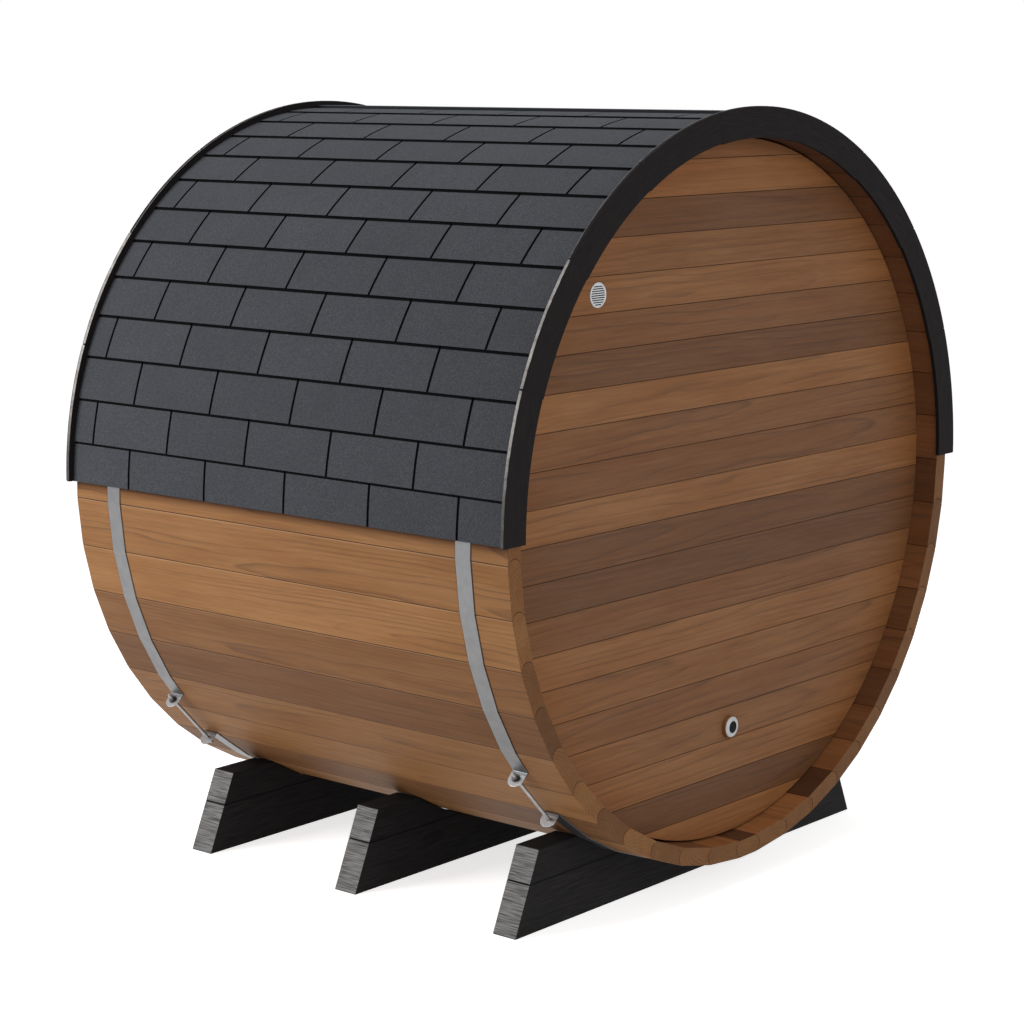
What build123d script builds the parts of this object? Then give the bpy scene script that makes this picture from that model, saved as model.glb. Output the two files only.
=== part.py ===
from build123d import *
from math import atan, cos, radians, sin, sqrt, tan
import os

os.makedirs("parts", exist_ok=True)

# The barrel lies along Y, the boarded end with the vent looks towards -Y, and
# the cradles stand on z = 0. Angles round the barrel are in degrees from the
# lowest point, positive towards +X.

# Barrel of staves
stave_corner_radius = 1030.0
stave_thickness = 50.0
barrel_length = 1610.0
ground_clearance = 74.0
stave_step = 7.82
bottom_stave_step = 4.54
bottom_stave_turn = 0.95
staves_up_left = 23
staves_up_right = 22
bead_rise = 15.0
bead_shoulder = 2.0
bead_flats = 5
joint_gap = 0.3

# End walls of lapped boards, fitted inside the staves
wall_recess = 70.0
wall_thickness = 40.0
wall_edge_gap = 0.3
board_pitch = 95.44
top_board_height = 57.8
board_gap = 0.4
board_lap_height = 8.0
board_lap_thickness = 20.0
board_edge_chamfer = 2.0

# Curved fascia boards over the stave ends
fascia_board_width = 83.0
fascia_above_roof = 17.4
fascia_thickness = 11.0
fascia_segment_angle = 19.6
fascia_segments = 9
fascia_corner_notch = 3.0

# Steel bands and their tensioners
band_width = 50.0
band_thickness = 2.0
band_from_vent_end = 146.0
band_from_plain_end = 159.0
band_upper_end = -51.6
band_lower_end = -41.05
band_seat_gap = 0.3
lug_hole_height = 21.5
rod_diameter = 10.0
rod_overrun = 26.0
rod_hole_diameter = 11.0
nut_across_flats = 17.0
nut_thickness = 8.0
thread_gap = 0.3

# Bitumen shingles
roof_seat_gap = 0.5
eave_angle = 90.0
eave_course_angle = 6.3
course_angle = 6.81
courses_per_side = 13
course_low_edge_thickness = 6.8
course_high_edge_thickness = 3.4
ridge_course_thickness = 11.2

# Cradles of two stacked beams
cradle_from_vent_end = 211.5
cradle_from_plain_end = 235.0
beam_width = 79.0
lower_beam_height = 136.0
upper_beam_height = 88.5
barrel_beyond_cradle = 233.0
cradle_end_lean = 23.4
saddle_gap = 0.3

# Round vent high in the end wall
vent_angle = -134.7
vent_from_wall_edge = 144.3
vent_radius = 33.0
vent_flange_thickness = 3.0
vent_slot_radius = 28.0
vent_slots = 9
vent_slot_pitch = 5.6
vent_slot_height = 2.6
vent_bore_radius = 29.0

# Cable entry low in the end wall
entry_angle = 0.77
entry_from_wall_edge = 311.0
entry_collar_radius = 31.0
entry_collar_thickness = 12.6
entry_rim_radius = 29.0
entry_rim_front_radius = 19.0
entry_rim_thickness = 4.5
entry_core_radius = 16.8
entry_core_proud = 0.5
fit_gap = 0.3

barrel_axis_height = stave_corner_radius + ground_clearance
stave_flat_distance = stave_corner_radius * cos(radians(stave_step / 2)) - stave_thickness
inner_corner_radius = stave_flat_distance / cos(radians(stave_step / 2))
barrel_end = barrel_length / 2
wall_face = barrel_end - wall_recess
wall_radius = stave_flat_distance - wall_edge_gap
full_turn = 360.0


def on_ring(radius, angle, shift=0.0):
    """Point in the y = 0 plane, moved along the ring by shift."""
    a = radians(angle)
    x = radius * sin(a) + shift * cos(a)
    z = barrel_axis_height - radius * cos(a) + shift * sin(a)
    return Vector(x, 0, z)


def straight(start, end):
    return Edge.make_line(start, end)


def bow(start, middle, end):
    return Edge.make_three_point_arc(start, middle, end)


def along_y(edges, y_start, y_end):
    """Solid from a closed outline in the y = 0 plane."""
    outline = Face(Wire(edges)).moved(Location((0, y_start, 0)))
    return Solid.extrude(outline, Vector(0, y_end - y_start, 0))


def closed_outline(points):
    return [straight(a, b) for a, b in zip(points, points[1:] + points[:1])]


def barrel_disc(radius, y_start, y_end):
    """Round disc about the barrel's axis."""
    plane = Plane(origin=(0, y_start, barrel_axis_height), z_dir=(0, 1, 0))
    return Solid.make_cylinder(radius, y_end - y_start, plane)


def export_node(name, solids):
    shape = solids[0] if len(solids) == 1 else Compound(children=list(solids))
    export_step(shape, f"parts/{name}.step")


def bead_edges(angle, inset, rise):
    """Edge of a stave at a joint, from its outer corner to its inner one."""
    bead_middle = (stave_corner_radius + inner_corner_radius) / 2
    half_width = (stave_corner_radius - inner_corner_radius) / 2 - bead_shoulder
    bead_radius = (half_width**2 + rise**2) / (2 * rise)
    half_turn = 2 * atan(abs(rise) / half_width)
    points = [on_ring(stave_corner_radius, angle, inset)]
    for i in range(bead_flats + 1):
        turn = half_turn * (2 * i / bead_flats - 1)
        out = rise - bead_radius * (1 - cos(turn))
        points.append(on_ring(bead_middle - abs(bead_radius) * sin(turn), angle, inset + out))
    points.append(on_ring(inner_corner_radius, angle, inset))
    return [straight(a, b) for a, b in zip(points, points[1:])]


def stave(start_angle, start_way, end_angle, end_way):
    """Stave between two joints; a way of 1 or -1 is where its bead points."""
    inset = joint_gap / 2
    start_side = bead_edges(start_angle, inset, start_way * bead_rise)
    end_side = bead_edges(end_angle, -inset, end_way * bead_rise)
    inner_face = straight(start_side[-1] @ 1, end_side[-1] @ 1)
    outer_face = straight(end_side[0] @ 0, start_side[0] @ 0)
    return along_y(
        start_side + [inner_face] + end_side + [outer_face], -barrel_end, barrel_end
    )


# Staves: beads of the bottom stave point both ways, every other bead points up
left_joint = bottom_stave_turn - bottom_stave_step / 2
right_joint = bottom_stave_turn + bottom_stave_step / 2
bottom_stave = stave(left_joint, -1, right_joint, 1)
left_staves = []
for i in range(staves_up_left):
    lower = left_joint - i * stave_step
    left_staves.append(stave(lower - stave_step, -1, lower, -1))
right_staves = []
for i in range(staves_up_right):
    lower = right_joint + i * stave_step
    right_staves.append(stave(lower, 1, lower + stave_step, 1))
closing_start = right_joint + staves_up_right * stave_step
closing_end = left_joint - staves_up_left * stave_step + full_turn
closing_stave = stave(closing_start, 1, closing_end, -1)

export_node("stave_bottom", [bottom_stave])
export_node("stave_closing", [closing_stave])
for name, staves in (("left", left_staves), ("right", right_staves)):
    export_node(f"staves_{name}_odd", staves[0::2])
    export_node(f"staves_{name}_even", staves[1::2])


def wall_board(low, high):
    """Board from seam to seam, lapped over the next one up, eased in front."""
    front = -wall_face
    back = front + wall_thickness
    lap_front = back - board_lap_thickness
    ease = board_edge_chamfer
    bottom = low + board_gap / 2
    top = high - board_gap / 2
    section = [
        (front + ease, bottom),
        (lap_front - board_gap, bottom),
        (lap_front - board_gap, bottom + board_lap_height),
        (back, bottom + board_lap_height),
        (back, top + board_lap_height - board_gap),
        (lap_front, top + board_lap_height - board_gap),
        (lap_front, top),
        (front + ease, top),
        (front, top - ease),
        (front, bottom + ease),
    ]
    points = [Vector(-stave_corner_radius, y, barrel_axis_height + z) for y, z in section]
    outline = Face(Wire(closed_outline(points)))
    return Solid.extrude(outline, Vector(2 * stave_corner_radius, 0, 0))


def turned(angle, from_wall_edge, front, depth, radius, front_radius=None):
    """Round piece across the wall, at an angle and a distance in from its edge."""
    centre = on_ring(wall_radius - from_wall_edge, angle) + Vector(0, front, 0)
    plane = Plane(origin=centre, z_dir=(0, 1, 0))
    if front_radius is None:
        return Solid.make_cylinder(radius, depth, plane)
    return Solid.make_cone(front_radius, radius, depth, plane)


# End walls
wall_room = barrel_disc(wall_radius, -wall_face, -wall_face + wall_thickness)
boards = []
seam = wall_radius - top_board_height + board_pitch
while seam > -wall_radius:
    fitted = wall_board(seam - board_pitch, seam) & wall_room
    boards.append(fitted.solids()[0])
    seam -= board_pitch
vent_hole = turned(
    vent_angle, vent_from_wall_edge, -wall_face - 1, wall_thickness + 2, vent_bore_radius
)
fitted_boards = [b - vent_hole for b in boards]
plain_boards = [b.mirror(Plane.XZ) for b in boards]
export_node("vent_wall_boards_odd", fitted_boards[0::2])
export_node("vent_wall_boards_even", fitted_boards[1::2])
export_node("plain_wall_boards_odd", plain_boards[0::2])
export_node("plain_wall_boards_even", plain_boards[1::2])


# Layers over the staves, from the bands up to the fascia's outer edge
band_inner_radius = stave_corner_radius + band_seat_gap
band_outer_radius = band_inner_radius + band_thickness
roof_inner_radius = band_outer_radius + roof_seat_gap
fascia_outer_radius = roof_inner_radius + course_low_edge_thickness + fascia_above_roof
fascia_inner_radius = fascia_outer_radius - fascia_board_width


def fascia_segment(start_angle, end_angle):
    """Piece of the fascia, its outer corners nicked where it meets the next."""
    middle = (start_angle + end_angle) / 2
    nick_radius = fascia_outer_radius - fascia_corner_notch
    inner_start = on_ring(fascia_inner_radius, start_angle)
    inner_end = on_ring(fascia_inner_radius, end_angle)
    outer_start = on_ring(fascia_outer_radius, start_angle, fascia_corner_notch)
    outer_end = on_ring(fascia_outer_radius, end_angle, -fascia_corner_notch)
    nick_start = on_ring(nick_radius, start_angle)
    nick_end = on_ring(nick_radius, end_angle)
    return [
        bow(inner_start, on_ring(fascia_inner_radius, middle), inner_end),
        straight(inner_end, nick_end),
        straight(nick_end, outer_end),
        bow(outer_end, on_ring(fascia_outer_radius, middle), outer_start),
        straight(outer_start, nick_start),
        straight(nick_start, inner_start),
    ]


# Fascia boards at both ends, equal pieces but for the lowest one on each side
fascia_joints = [eave_angle]
for i in range(fascia_segments - 1):
    steps_from_crown = i + 1 - fascia_segments / 2
    fascia_joints.append(180 + steps_from_crown * fascia_segment_angle)
fascia_joints.append(full_turn - eave_angle)
for name, y_start in (("vent_end", -barrel_end - fascia_thickness), ("plain_end", barrel_end)):
    segments = []
    for start_angle, end_angle in zip(fascia_joints, fascia_joints[1:]):
        outline = fascia_segment(start_angle, end_angle)
        segments.append(along_y(outline, y_start, y_start + fascia_thickness))
    export_node(f"fascia_{name}_odd", segments[0::2])
    export_node(f"fascia_{name}_even", segments[1::2])


def joint_angles(high, low):
    """Joints between staves that are met going round from high to low."""
    once = [left_joint - i * stave_step for i in range(staves_up_left + 1)]
    once += [right_joint + i * stave_step for i in range(staves_up_right + 1)]
    all_turns = [a - full_turn * turn for a in once for turn in range(3)]
    return sorted((a for a in all_turns if low < a < high), reverse=True)


# Steel bands, each one strip bent over the staves from lug to lug
gap_middle = (band_upper_end + band_lower_end) / 2
lug_half_span = (band_lower_end - band_upper_end) / 2
band_far_end = band_lower_end - full_turn
band_centres = (band_from_vent_end - barrel_end, barrel_end - band_from_plain_end)
turns = joint_angles(band_upper_end, band_far_end)
turns = [band_upper_end] + turns + [band_far_end]


def band_radius(angle):
    """Distance from the barrel's axis to the underside of the band."""
    above = joint_angles(angle + 10, angle - 0.001)[-1]
    below = joint_angles(angle + 0.001, angle - 10)[0]
    half = (above - below) / 2
    off = angle - (above + below) / 2
    return band_inner_radius * cos(radians(half)) / cos(radians(off))


def lug(end_angle, way, y_centre):
    """Half-round plate standing out from the end of a band."""
    mid = radians(gap_middle)
    outward = Vector(sin(mid), 0, -cos(mid))
    round_the_barrel = Vector(cos(mid), 0, sin(mid))
    axis_point = Vector(0, y_centre, barrel_axis_height)
    foot = on_ring(band_radius(end_angle), end_angle) + Vector(0, y_centre, 0)
    plane = Plane(origin=foot, x_dir=(0, -way, 0), z_dir=round_the_barrel * way)
    half = band_width / 2
    rod_distance = band_inner_radius * cos(radians(lug_half_span)) + lug_hole_height
    height = rod_distance - (foot - axis_point).dot(outward)
    sketch = Polyline(
        [(-half, height), (-half, 0), (half, 0), (half, height)]
    ) + ThreePointArc((half, height), (0, height + half), (-half, height))
    plate_face = plane * make_face(sketch)
    plate = extrude(plate_face, band_thickness)
    hole_centre = foot + outward * height
    hole_plane = Plane(origin=hole_centre, z_dir=round_the_barrel * way)
    hole = Solid.make_cylinder(
        rod_hole_diameter / 2,
        3 * band_thickness,
        hole_plane.offset(-band_thickness),
    )
    return plate - hole, hole_centre


def tensioner(upper_hole, lower_hole):
    """Threaded rod between two lugs and a nut behind each."""
    pull = (lower_hole - upper_hole).normalized()
    rod_start = upper_hole - pull * rod_overrun
    rod_length = (lower_hole - upper_hole).length + 2 * rod_overrun
    rod = Solid.make_cylinder(rod_diameter / 2, rod_length, Plane(rod_start, z_dir=pull))
    nuts = []
    for hole, way in ((upper_hole, -1), (lower_hole, 1)):
        behind_lug = hole + pull * way * band_thickness
        seat = Plane(origin=behind_lug, z_dir=pull * way)
        bore = Solid.make_cylinder(rod_diameter / 2 + thread_gap, 2 * nut_thickness, seat)
        hexagon = RegularPolygon(nut_across_flats / 2, 6, major_radius=False)
        nuts.append(extrude(seat * hexagon, nut_thickness) - bore)
    return rod, nuts


rods, nuts = [], []
for name, y_centre in zip(("vent_end", "plain_end"), band_centres):
    inner = [on_ring(band_radius(a), a) for a in turns]
    outer = [on_ring(band_radius(a) + band_thickness, a) for a in turns]
    strip = along_y(
        closed_outline(inner + outer[::-1]),
        y_centre - band_width / 2,
        y_centre + band_width / 2,
    )
    upper_lug, upper_hole = lug(band_upper_end, -1, y_centre)
    lower_lug, lower_hole = lug(band_lower_end, 1, y_centre)
    export_node(f"band_{name}", [strip + upper_lug + lower_lug])
    rod, rod_nuts = tensioner(upper_hole, lower_hole)
    rods.append(rod)
    nuts += rod_nuts
export_node("tension_rods", rods)
export_node("tension_nuts", nuts)


def shingle_course(low_angle, high_angle, low_edge, high_edge):
    """Course of shingles round the barrel, of a thickness at each edge."""
    low_radius = roof_inner_radius + low_edge
    high_radius = roof_inner_radius + high_edge
    middle = (low_angle + high_angle) / 2
    outline = [
        bow(
            on_ring(roof_inner_radius, low_angle),
            on_ring(roof_inner_radius, middle),
            on_ring(roof_inner_radius, high_angle),
        ),
        straight(on_ring(roof_inner_radius, high_angle), on_ring(high_radius, high_angle)),
        bow(
            on_ring(high_radius, high_angle),
            on_ring((low_radius + high_radius) / 2, middle),
            on_ring(low_radius, low_angle),
        ),
        straight(on_ring(low_radius, low_angle), on_ring(roof_inner_radius, low_angle)),
    ]
    return along_y(outline, -barrel_end, barrel_end)


# Roof: courses step up each side, thicker at their lower edge, and one lies over the top
low_edge, high_edge = course_low_edge_thickness, course_high_edge_thickness
for name, side in (("left", -1), ("right", 1)):
    courses = []
    low = eave_angle
    for i in range(courses_per_side):
        high = low + (eave_course_angle if i == 0 else course_angle)
        courses.append(shingle_course(side * low, side * high, low_edge, high_edge))
        low = high
    export_node(f"shingles_{name}_odd", courses[0::2])
    export_node(f"shingles_{name}_even", courses[1::2])
ridge_edge = ridge_course_thickness
export_node("shingles_ridge", [shingle_course(low, full_turn - low, ridge_edge, ridge_edge)])


def raked_half_length(height):
    """Half the length of a cradle at a height, its ends leaning inwards."""
    half_length_on_ground = stave_corner_radius - barrel_beyond_cradle
    return half_length_on_ground - height * tan(radians(cradle_end_lean))


def cradle_beam(y_centre, z_low, z_high):
    """Beam across the barrel between two heights, hollowed to its curve."""
    low, high = raked_half_length(z_low), raked_half_length(z_high)
    points = [
        Vector(-low, 0, z_low),
        Vector(low, 0, z_low),
        Vector(high, 0, z_high),
        Vector(-high, 0, z_high),
    ]
    y_start = y_centre - beam_width / 2
    y_end = y_centre + beam_width / 2
    beam = along_y(closed_outline(points), y_start, y_end)
    saddle = barrel_disc(stave_corner_radius + saddle_gap, y_start - 1, y_end + 1)
    return beam - saddle


# Cradles: a long lower beam and, where the barrel cuts it in two, an upper one
vent_end_cradle = cradle_from_vent_end - barrel_end
plain_end_cradle = barrel_end - cradle_from_plain_end
middle_cradle = (vent_end_cradle + plain_end_cradle) / 2
cradle_centres = (vent_end_cradle, middle_cradle, plain_end_cradle)
cradle_height = lower_beam_height + upper_beam_height
for name, y_centre in zip(("vent_end", "middle", "plain_end"), cradle_centres):
    export_node(f"cradle_{name}_lower", [cradle_beam(y_centre, 0, lower_beam_height)])
    upper = cradle_beam(y_centre, lower_beam_height, cradle_height)
    export_node(f"cradle_{name}_upper", upper.solids())


# Vent: a flange with sloping slots
vent_front = -wall_face - vent_flange_thickness
flange = turned(vent_angle, vent_from_wall_edge, vent_front, vent_flange_thickness, vent_radius)
vent_centre = flange.center()
for i in range(vent_slots):
    drop = (i - (vent_slots - 1) / 2) * vent_slot_pitch
    half_width = sqrt(vent_slot_radius**2 - drop**2)
    slot = Box(2 * half_width, 6 * vent_flange_thickness, vent_slot_height)
    flange = flange - Pos(vent_centre + Vector(0, 0, drop)) * Rot(-30, 0, 0) * slot
export_node("vent", [flange])


def entry_piece(front, depth, radius, front_radius=None):
    return turned(entry_angle, entry_from_wall_edge, front, depth, radius, front_radius)


# Cable entry: a wooden collar, and on it a pale cone-shaped rim round a black plug
collar_front = -wall_face - entry_collar_thickness
rim_front = collar_front - entry_rim_thickness
plug_thickness = entry_rim_thickness + entry_core_proud
collar = entry_piece(collar_front, entry_collar_thickness, entry_collar_radius)
rim = entry_piece(rim_front, entry_rim_thickness, entry_rim_radius, entry_rim_front_radius)
rim_bore = entry_piece(rim_front, entry_rim_thickness, entry_core_radius + fit_gap)
plug = entry_piece(collar_front - plug_thickness, plug_thickness, entry_core_radius)
export_node("cable_entry_collar", [collar])
export_node("cable_entry_rim", [rim - rim_bore])
export_node("cable_entry_plug", [plug])
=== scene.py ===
import math
import random

import bmesh
import bpy
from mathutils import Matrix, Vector
from mathutils.geometry import tessellate_polygon


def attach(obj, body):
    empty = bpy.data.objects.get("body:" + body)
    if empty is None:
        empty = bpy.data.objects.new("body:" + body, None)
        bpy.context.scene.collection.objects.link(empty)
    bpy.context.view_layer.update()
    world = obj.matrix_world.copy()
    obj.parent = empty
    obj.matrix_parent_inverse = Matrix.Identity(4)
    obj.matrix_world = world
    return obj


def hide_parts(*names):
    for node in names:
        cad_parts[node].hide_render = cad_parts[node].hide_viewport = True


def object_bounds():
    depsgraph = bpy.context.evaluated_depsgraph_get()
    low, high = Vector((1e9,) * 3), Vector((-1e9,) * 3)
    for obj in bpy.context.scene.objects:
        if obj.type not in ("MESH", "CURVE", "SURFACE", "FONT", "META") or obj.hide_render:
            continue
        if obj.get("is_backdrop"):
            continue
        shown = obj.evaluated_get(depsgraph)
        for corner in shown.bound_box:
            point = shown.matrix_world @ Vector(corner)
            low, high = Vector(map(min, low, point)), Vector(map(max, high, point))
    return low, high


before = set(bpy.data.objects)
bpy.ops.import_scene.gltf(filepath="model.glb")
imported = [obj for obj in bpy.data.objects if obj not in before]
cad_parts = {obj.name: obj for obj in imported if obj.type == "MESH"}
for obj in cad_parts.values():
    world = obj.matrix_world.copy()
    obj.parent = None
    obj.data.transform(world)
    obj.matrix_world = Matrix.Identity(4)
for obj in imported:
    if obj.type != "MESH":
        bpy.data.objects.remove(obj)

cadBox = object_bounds()
dice = random.Random(11)

# the barrel lies along Y, the end with the vent looks towards -Y, the cradles stand on z = 0
# angles run round the barrel in degrees from its lowest point, positive towards +X
axisHeight = 1.104
barrelCentre = Vector((0, 0, axisHeight))
fullTurn = 360.0


def onRing(radius, angle, shift=0.0):
    a = math.radians(angle)
    x = radius * math.sin(a) + shift * math.cos(a)
    z = axisHeight - radius * math.cos(a) + shift * math.sin(a)
    return Vector((x, z))


# camera
cameraLook = {
    "place": (-5.759, -4.826, 2.266),
    "turn": (80.196, 0.0, -49.727),
    "lens": 90.73,
    "sensor": 36.0,
}
cameraData = bpy.data.cameras.new("camera")
cameraData.lens = cameraLook["lens"]
cameraData.sensor_width = cameraLook["sensor"]
cameraData.clip_end = 200
camera = bpy.data.objects.new("camera", cameraData)
camera.location = cameraLook["place"]
camera.rotation_euler = [math.radians(a) for a in cameraLook["turn"]]
bpy.context.collection.objects.link(camera)
bpy.context.scene.camera = camera
bpy.context.scene.view_settings.view_transform = "Standard"


# node helpers: they all add to the node tree of the finish that was opened last
bench = {}


def tint(red, green, blue):
    def linear(v):
        v /= 255
        return v / 12.92 if v <= 0.04045 else ((v + 0.055) / 1.055) ** 2.4

    return (linear(red), linear(green), linear(blue), 1.0)


def newFinish(name):
    material = bpy.data.materials.new(name)
    material.use_nodes = True
    bench["tree"] = material.node_tree
    return material


def newNode(kind, **settings):
    node = bench["tree"].nodes.new("ShaderNode" + kind)
    for key, value in settings.items():
        setattr(node, key, value)
    return node


def feed(socket, value):
    if isinstance(value, bpy.types.NodeSocket):
        bench["tree"].links.new(value, socket)
    else:
        socket.default_value = value


def feedAll(node, *values):
    for socket, value in zip(node.inputs, values):
        feed(socket, value)
    return node.outputs


def feedNamed(node, **values):
    for name, value in values.items():
        feed(node.inputs[name], value)
    return node.outputs


def calc(kind, a, b=0.0, c=0.0):
    return feedAll(newNode("Math", operation=kind), a, b, c)[0]


def times(a, b):
    return calc("MULTIPLY", a, b)


def without(value):
    return calc("SUBTRACT", 1.0, value)


def distance(a, b=0.0):
    return calc("ABSOLUTE", calc("SUBTRACT", a, b))


def vectorCalc(kind, a, b=(0.0, 0.0, 0.0)):
    outputs = feedAll(newNode("VectorMath", operation=kind), a, b)
    return outputs["Value" if kind in ("LENGTH", "DOT_PRODUCT") else "Vector"]


def stretch(vector, *factors):
    return vectorCalc("MULTIPLY", vector, factors)


def apart(vector):
    return feedAll(newNode("SeparateXYZ"), vector)


def blend(share, a, b, kind="MIX"):
    node = newNode("Mix", data_type="RGBA", blend_type=kind)
    for i, value in ((0, share), (6, a), (7, b)):
        feed(node.inputs[i], value)
    return node.outputs[2]


def stained(colour, stain):
    return blend(1.0, colour, stain, "MULTIPLY")


def spread(value, low, high, newLow=0.0, newHigh=1.0, kind="LINEAR"):
    return feedAll(newNode("MapRange", interpolation_type=kind), value, low, high, newLow, newHigh)[0]


# the same with soft ends
def fade(value, low, high, newLow=0.0, newHigh=1.0):
    return spread(value, low, high, newLow, newHigh, "SMOOTHSTEP")


# most of a noise lies between 0.3 and 0.7
def swing(value, newLow, newHigh):
    return spread(value, 0.3, 0.7, newLow, newHigh)


def noise(vector, scale, detail=3.0, roughness=0.5, distortion=0.0, output="Fac"):
    settings = {"Vector": vector, "Scale": scale, "Detail": detail, "Roughness": roughness}
    return feedNamed(newNode("TexNoise"), Distortion=distortion, **settings)[output]


def cells(vector, scale):
    return feedNamed(newNode("TexVoronoi"), Vector=vector, Scale=scale)


def steps(value, stops):
    node = newNode("ValToRGB")
    ramp = node.color_ramp
    while len(ramp.elements) < len(stops):
        ramp.elements.new(1.0)
    for element, (place, colour) in zip(ramp.elements, stops):
        element.position = place
        element.color = colour
    return feedAll(node, value)[0]


def stored(name, output):
    return newNode("Attribute", attribute_name=name).outputs[output]


def objectPlace():
    return newNode("TexCoord").outputs["Object"]


def faceWay():
    return newNode("NewGeometry").outputs["Normal"]


def fromAxis(place):
    return stretch(vectorCalc("SUBTRACT", place, (0.0, 0.0, axisHeight)), 1.0, 0.0, 1.0)


# how far a face looks along X, Y or Z, either way
def looksAlong(facing, *way):
    return calc("ABSOLUTE", vectorCalc("DOT_PRODUCT", facing, way))


# the last step of a finish: bump is its height, its depth in metres and its strength
def setShader(colour, rough, bump, gloss=0.5, metallic=0.0):
    shader = bench["tree"].nodes["Principled BSDF"]
    height, depth, strength = (*bump, 1.0)[:3]
    normal = feedNamed(newNode("Bump"), Height=height, Distance=depth, Strength=strength)[0]
    feedNamed(shader, Roughness=rough, Normal=normal, Metallic=metallic)
    feed(shader.inputs["Base Color"], colour)
    shader.inputs["Specular IOR Level"].default_value = gloss


# two colours that drift into each other, with a roughness that follows them
def makePlain(name, look):
    material = newFinish(name)
    place = objectPlace()
    drift = noise(place, *look["drift"])
    height = noise(place, *look["specks"]) if "specks" in look else drift
    colour = blend(spread(drift, *look["share"]), *look["colours"])
    setShader(colour, swing(drift, *look["roughness"]), (height, look["bump"]), look["gloss"])
    return material


# mesh helpers: outlines are lists of 2-D vectors, a slab is an outline with depth
def upright(u, v, w):
    return Vector((u, w, v))


def arc(centre, radius, start, end, parts):
    angles = [math.radians(start + (end - start) * k / parts) for k in range(parts + 1)]
    return [centre + Vector((math.cos(a), math.sin(a))) * radius for a in angles]


def circle(centre, radius, parts=40):
    return arc(centre, radius, 0.0, fullTurn, parts)[:-1]


def roundedPath(points, radii, closed=True, arcSteps=3):
    path = []
    count = len(points)
    for i, (point, radius) in enumerate(zip(points, radii)):
        if radius <= 0 or (not closed and i in (0, count - 1)):
            path.append(point.copy())
            continue
        before, after = points[i - 1] - point, points[(i + 1) % count] - point
        reach = radius * math.tan((math.pi - before.angle(after)) / 2)
        roomBefore = before.length * (0.45 if radii[i - 1] else 0.95)
        roomAfter = after.length * (0.45 if radii[(i + 1) % count] else 0.95)
        start = point + before.normalized() * min(reach, roomBefore)
        end = point + after.normalized() * min(reach, roomAfter)
        for k in range(arcSteps + 1):
            t = k / arcSteps
            path.append(start * (1 - t) ** 2 + point * 2 * t * (1 - t) + end * t * t)
    return path


def signedArea(loop):
    return sum(a.x * b.y - b.x * a.y for a, b in zip(loop, loop[1:] + loop[:1])) / 2


def insetLoop(loop, inset):
    if inset == 0:
        return [p.copy() for p in loop]
    moved = []
    for i, point in enumerate(loop):
        before = (point - loop[i - 1]).normalized()
        after = (loop[(i + 1) % len(loop)] - point).normalized()
        normal = Vector((-before.y, before.x)) + Vector((-after.y, after.x))
        length = normal.length
        if length < 0.2:
            normal, length = Vector((-before.y, before.x)), 1.0
        normal /= length
        share = max(0.45, normal.dot(Vector((-before.y, before.x))))
        moved.append(point + normal * inset / share)
    return moved


def easedRows(start, end, ease, rows=2):
    rowsAtStart = []
    for k in range(rows + 1):
        a = math.pi / 2 * k / rows
        rowsAtStart.append((start + ease * (1 - math.sin(a)), ease * (1 - math.cos(a))))
    rowsAtStart = rowsAtStart[::-1]
    rowsAtEnd = [(end - (depth - start), inset) for depth, inset in rowsAtStart][::-1]
    return rowsAtStart + rowsAtEnd


# outlineAt gives the outline by its inset, where moving it in evenly would fold it over itself
def slab(outline, rows, place, holes=(), outlineAt=None):
    flip = signedArea(outline) < 0
    loops = [outline[::-1] if flip else outline]
    loops += [hole if signedArea(hole) < 0 else hole[::-1] for hole in holes]
    perRow = sum(len(loop) for loop in loops)
    points, faces = [], []
    for depth, inset in rows:
        for loop in loops:
            if outlineAt:
                moved = outlineAt(inset)[::-1] if flip else outlineAt(inset)
            else:
                moved = insetLoop(loop, inset)
            points += [place(p.x, p.y, depth) for p in moved]
    for row in range(len(rows) - 1):
        first = row * perRow
        for loop in loops:
            n = len(loop)
            for i in range(n):
                a, b = first + i, first + (i + 1) % n
                faces.append([a, b, b + perRow, a + perRow])
            first += n
    last = (len(rows) - 1) * perRow
    if holes:
        flat = [[Vector((p.x, p.y, 0)) for p in insetLoop(loop, rows[0][1])] for loop in loops]
        for triangle in tessellate_polygon(flat):
            faces.append(list(triangle)[::-1])
            faces.append([last + i for i in triangle])
    else:
        faces.append(list(range(perRow))[::-1])
        faces.append([last + i for i in range(perRow)])
    return points, faces


def lathe(profile, place, around=48, closed=True, spin=None):
    points, faces, rings = [], [], []
    for radius, height in profile:
        if radius < 1e-7:
            rings.append([len(points)])
            points.append(place(0.0, 0.0, height))
            continue
        ring = []
        for k in range(around):
            a = 2 * math.pi * k / around
            r = spin(radius, a, height) if spin else (radius, height)
            ring.append(len(points))
            points.append(place(r[0] * math.cos(a), r[0] * math.sin(a), r[1]))
        rings.append(ring)
    for low, high in zip(rings, rings[1:] + rings[:1] if closed else rings[1:]):
        for k in range(around):
            n = (k + 1) % around
            if len(low) == 1:
                faces.append([low[0], high[n], high[k]])
            elif len(high) == 1:
                faces.append([low[k], low[n], high[0]])
            else:
                faces.append([low[k], low[n], high[n], high[k]])
    return points, faces


def newStock():
    return {key: [] for key in ("points", "faces", "grain", "tone", "spot", "finish")}


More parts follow.
